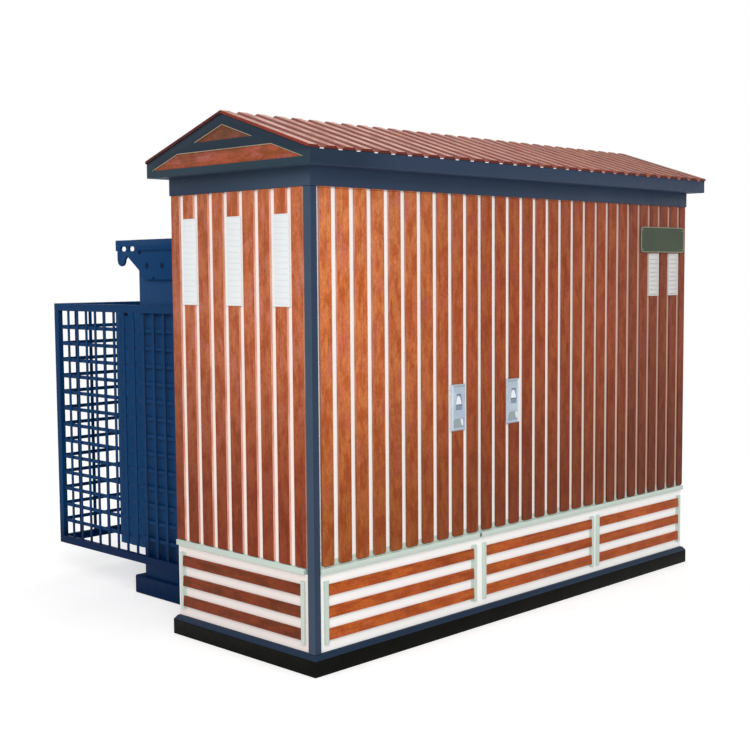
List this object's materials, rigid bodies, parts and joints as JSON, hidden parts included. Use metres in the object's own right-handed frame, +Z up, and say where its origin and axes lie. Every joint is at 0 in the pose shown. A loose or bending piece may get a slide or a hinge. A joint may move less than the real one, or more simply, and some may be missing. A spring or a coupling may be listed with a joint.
{
  "type": "compact substation",
  "caption": "Outdoor compact substation: gable-roofed cabinet clad in timber-look boards with hinged doors, and a tank with radiators in a mesh guard behind.",
  "frame": {"origin": "middle of the underside of the cabinet's plinth, on the ground", "axes": "+X to the right along the cabinet's front, +Y from the front towards the transformer tank, +Z up"},
  "size_m": [2.944, 2.4473, 2.2999],
  "materials": {
    "plinth_black": "matt black paint",
    "frame_navy": "satin navy paint",
    "trim_pale_green": "satin pale green-grey paint",
    "panel_white": "satin off-white paint",
    "timber_look": "red-brown timber-grain coating",
    "roof_red": "satin red-brown coated sheet",
    "vent_white": "satin white paint",
    "sign_grey_green": "satin grey-green paint",
    "lock_metal": "satin light blue-grey metal",
    "tank_blue": "satin dark blue paint"
  },
  "bodies": {
    "cabinet": {"plinth": "plinth_black", "floor_pan": "frame_navy", "corner_post": "frame_navy", "header_band": "frame_navy", "eave_tray": "frame_navy", "left_gable_frame": "frame_navy", "right_gable_frame": "frame_navy", "front_rail": "trim_pale_green", "left_rail": "trim_pale_green", "right_rail": "trim_pale_green", "front_base_panel_left": "panel_white", "front_base_panel_middle": "panel_white", "front_base_panel_right": "panel_white", "left_base_panel": "panel_white", "right_base_panel": "panel_white", "front_fixed_panel": "timber_look", "left_end_wall": "timber_look", "right_end_wall": "timber_look", "back_wall": "timber_look", "left_gable_infill": "timber_look", "right_gable_infill": "timber_look", "roof_front_slope": "roof_red", "roof_back_slope": "roof_red", "front_vent_1": "vent_white", "front_vent_2": "vent_white", "left_vent_1": "vent_white", "left_vent_2": "vent_white", "left_vent_3": "vent_white", "right_vent_1": "vent_white", "right_vent_2": "vent_white", "right_vent_3": "vent_white", "sign_plate": "sign_grey_green", "tank_skid": "tank_blue", "tank": "tank_blue", "tank_cover": "tank_blue", "left_lifting_lug": "tank_blue", "right_lifting_lug": "tank_blue", "left_radiator": "tank_blue", "right_radiator": "tank_blue", "left_guard": "tank_blue", "right_guard": "tank_blue", "back_guard": "tank_blue"},
    "left_door_leaf": {"left_door": "timber_look", "left_lock_plate": "lock_metal"},
    "right_door_leaf": {"right_door": "timber_look", "right_lock_plate": "lock_metal"}
  },
  "joints": [
    {"name": "left_door_hinge", "type": "hinge", "parent": "cabinet", "child": "left_door_leaf", "pos_m": [-1.3415, -0.45, 0.439], "axis": [0, 0, -1], "range_deg": [0, 110]},
    {"name": "right_door_hinge", "type": "hinge", "parent": "cabinet", "child": "right_door_leaf", "pos_m": [0.53125, -0.45, 0.439], "axis": [0, 0, 1], "range_deg": [0, 110]}
  ]
}
